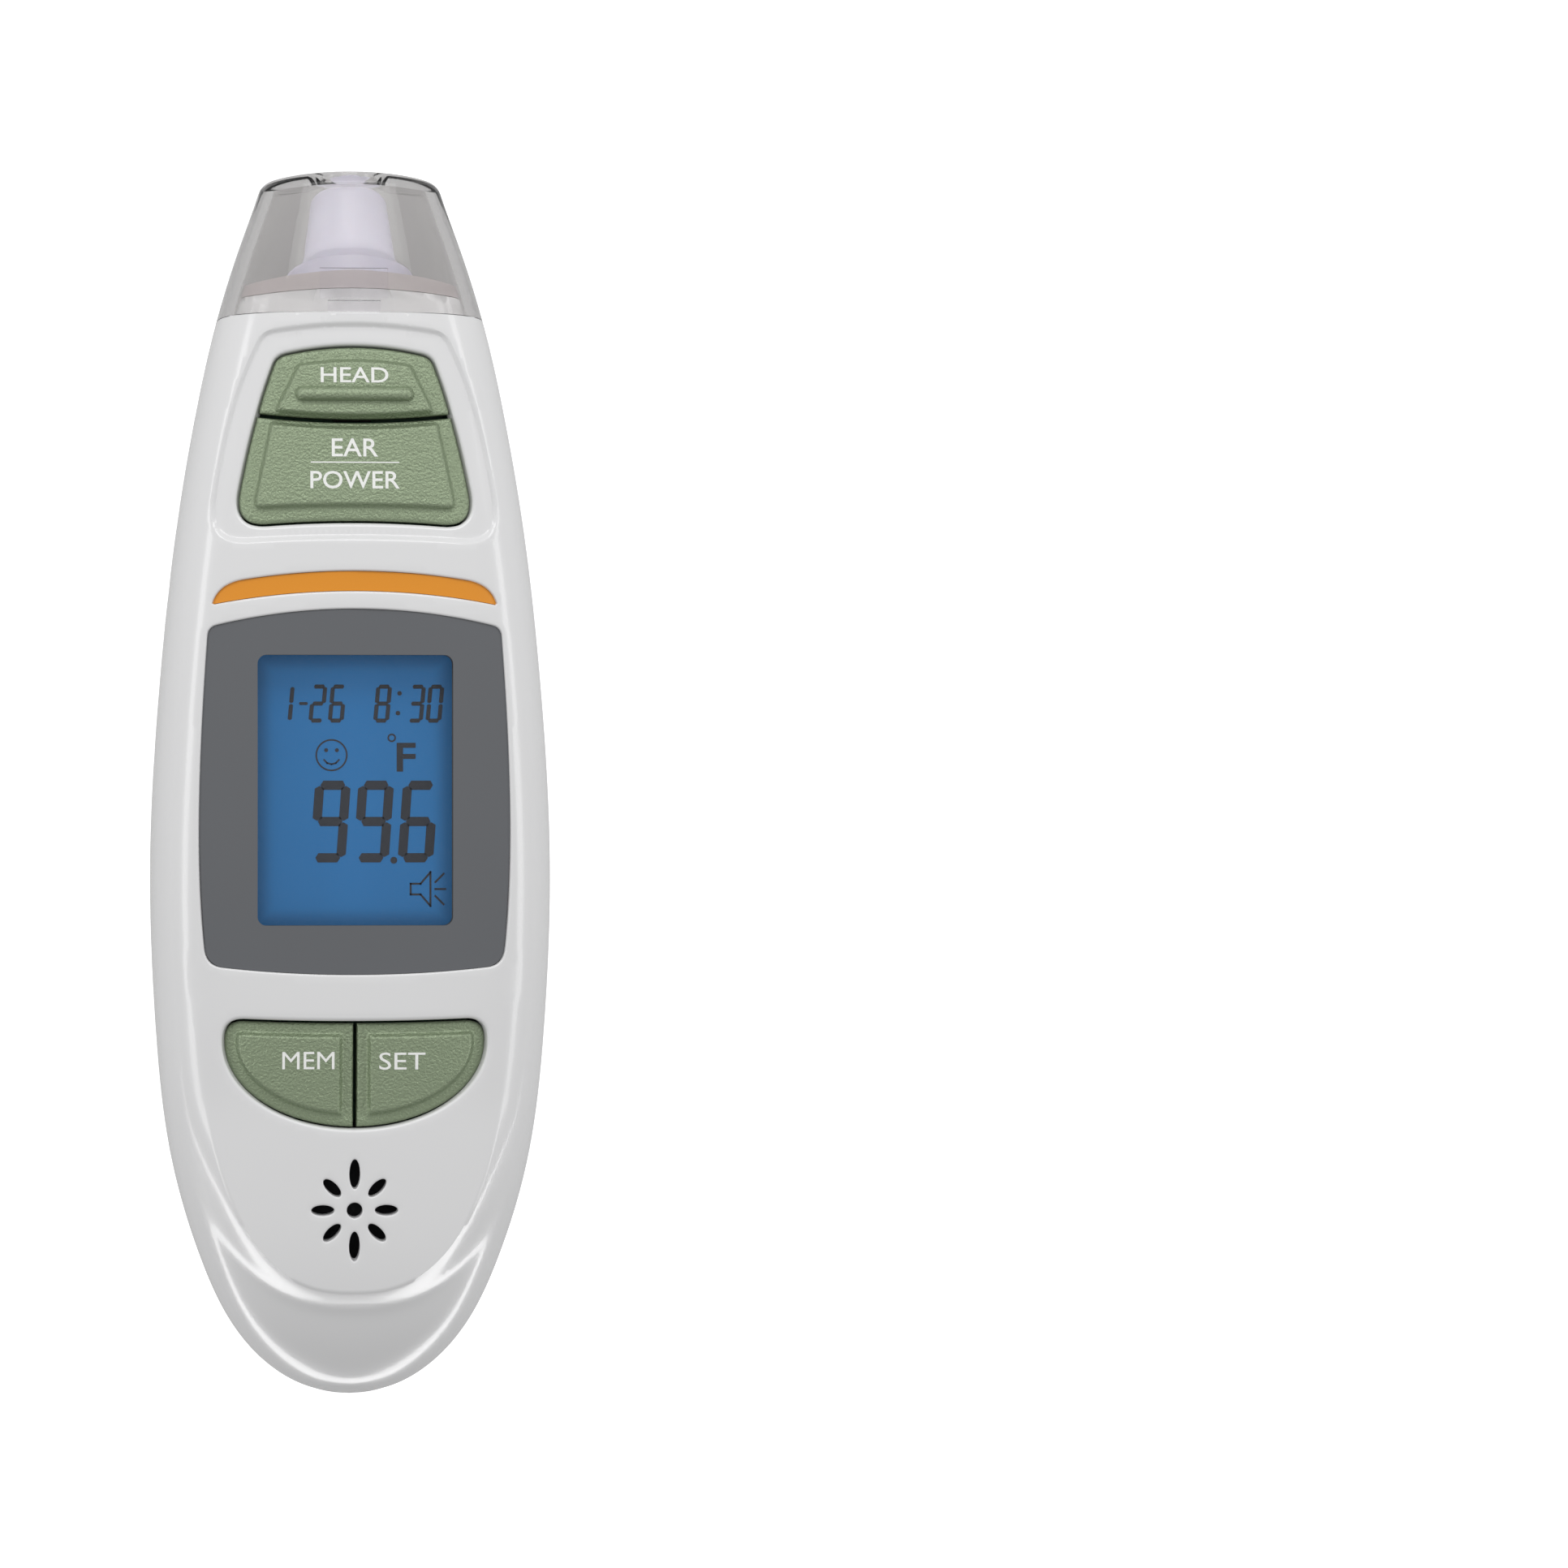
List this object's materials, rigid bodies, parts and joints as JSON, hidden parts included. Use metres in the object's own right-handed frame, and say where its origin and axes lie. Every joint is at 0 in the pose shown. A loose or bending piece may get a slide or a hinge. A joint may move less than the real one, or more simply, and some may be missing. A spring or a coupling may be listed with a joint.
{
  "type": "digital ear thermometer",
  "caption": "Slim infrared ear and forehead thermometer with a capped probe, a lit display and four buttons.",
  "frame": {"origin": "on the resting plane under the middle of the body's length, at its centre line", "axes": "+Y along the body towards the ear probe, +Z out of the display, +X to the display's right"},
  "size_m": [0.0488, 0.1494, 0.0298],
  "materials": {
    "white_abs": "glossy moulded ABS",
    "clear_pc": "clear polycarbonate",
    "lilac_abs": "satin",
    "grey_seal": "satin",
    "grey_lens": "printed lens, gloss",
    "orange_trim": "satin",
    "sage_metallic": "metallic paint on a grained button",
    "lcd_blue": "lit liquid crystal panel",
    "light_guide": "clear diffuser",
    "black_plastic": "moulded, matte",
    "zebra": "elastomer connector",
    "board_green": "solder mask",
    "steel": "plated",
    "gold_tube": "gold plated",
    "aluminium": "turned",
    "silicon": "silicon filter",
    "film": "infrared film",
    "flex": "polyimide strip",
    "tan_parts": "chip components",
    "paper_cone": "pressed paper",
    "foam": "closed-cell foam",
    "cell_jacket": "printed film jacket",
    "nickel": "nickel plated",
    "green_button_core": "switch plunger"
  },
  "bodies": {
    "case": {"front_shell": "white_abs", "back_shell": "white_abs", "neck_plate": "grey_seal", "probe_cone": "lilac_abs", "probe_window": "film", "waveguide_tube": "gold_tube", "sensor_filter": "silicon", "sensor_can": "steel", "sensor_sleeve": "aluminium", "sensor_board": "board_green", "sensor_flex": "flex", "display_window": "grey_lens", "accent_strip": "orange_trim", "lcd_glass": "lcd_blue", "backlight": "light_guide", "lcd_frame": "black_plastic", "zebra_strip": "zebra", "main_board": "board_green", "processor_chip": "black_plastic", "amplifier_chip": "black_plastic", "memory_chip": "black_plastic", "small_components": "tan_parts", "crystal_can": "steel", "switch_housings": "black_plastic", "speaker_frame": "steel", "speaker_cone": "paper_cone", "speaker_magnet": "steel", "speaker_gasket": "foam", "battery_left": "cell_jacket", "battery_right": "cell_jacket", "battery_spring_left": "nickel", "battery_spring_right": "nickel", "contact_plate_left": "nickel", "contact_plate_right": "nickel", "case_screws": "steel", "board_screws": "steel"},
    "door": {"battery_door": "white_abs"},
    "cap": {"clear_cap": "clear_pc"},
    "head_key": {"head_switch_plunger": "green_button_core", "head_button": "sage_metallic"},
    "ear_key": {"ear_switch_plunger": "green_button_core", "ear_power_button": "sage_metallic"},
    "mem_key": {"mem_switch_plunger": "green_button_core", "mem_button": "sage_metallic"},
    "set_key": {"set_switch_plunger": "green_button_core", "set_button": "sage_metallic"}
  },
  "joints": [
    {"name": "head_press", "type": "slide", "parent": "case", "child": "head_key", "axis": [0, 0, -1], "range_m": [0, 0.0005], "stiffness_N_per_m": 1500},
    {"name": "ear_press", "type": "slide", "parent": "case", "child": "ear_key", "axis": [0, 0, -1], "range_m": [0, 0.0005], "stiffness_N_per_m": 1500},
    {"name": "mem_press", "type": "slide", "parent": "case", "child": "mem_key", "axis": [0, 0, -1], "range_m": [0, 0.0005], "stiffness_N_per_m": 1500},
    {"name": "set_press", "type": "slide", "parent": "case", "child": "set_key", "axis": [0, 0, -1], "range_m": [0, 0.0005], "stiffness_N_per_m": 1500},
    {"name": "cap_pull", "type": "slide", "parent": "case", "child": "cap", "axis": [0, 1, 0], "range_m": [0, 0.03]},
    {"name": "door_slide", "type": "slide", "parent": "case", "child": "door", "axis": [0, -1, 0], "range_m": [0, 0.03]}
  ]
}
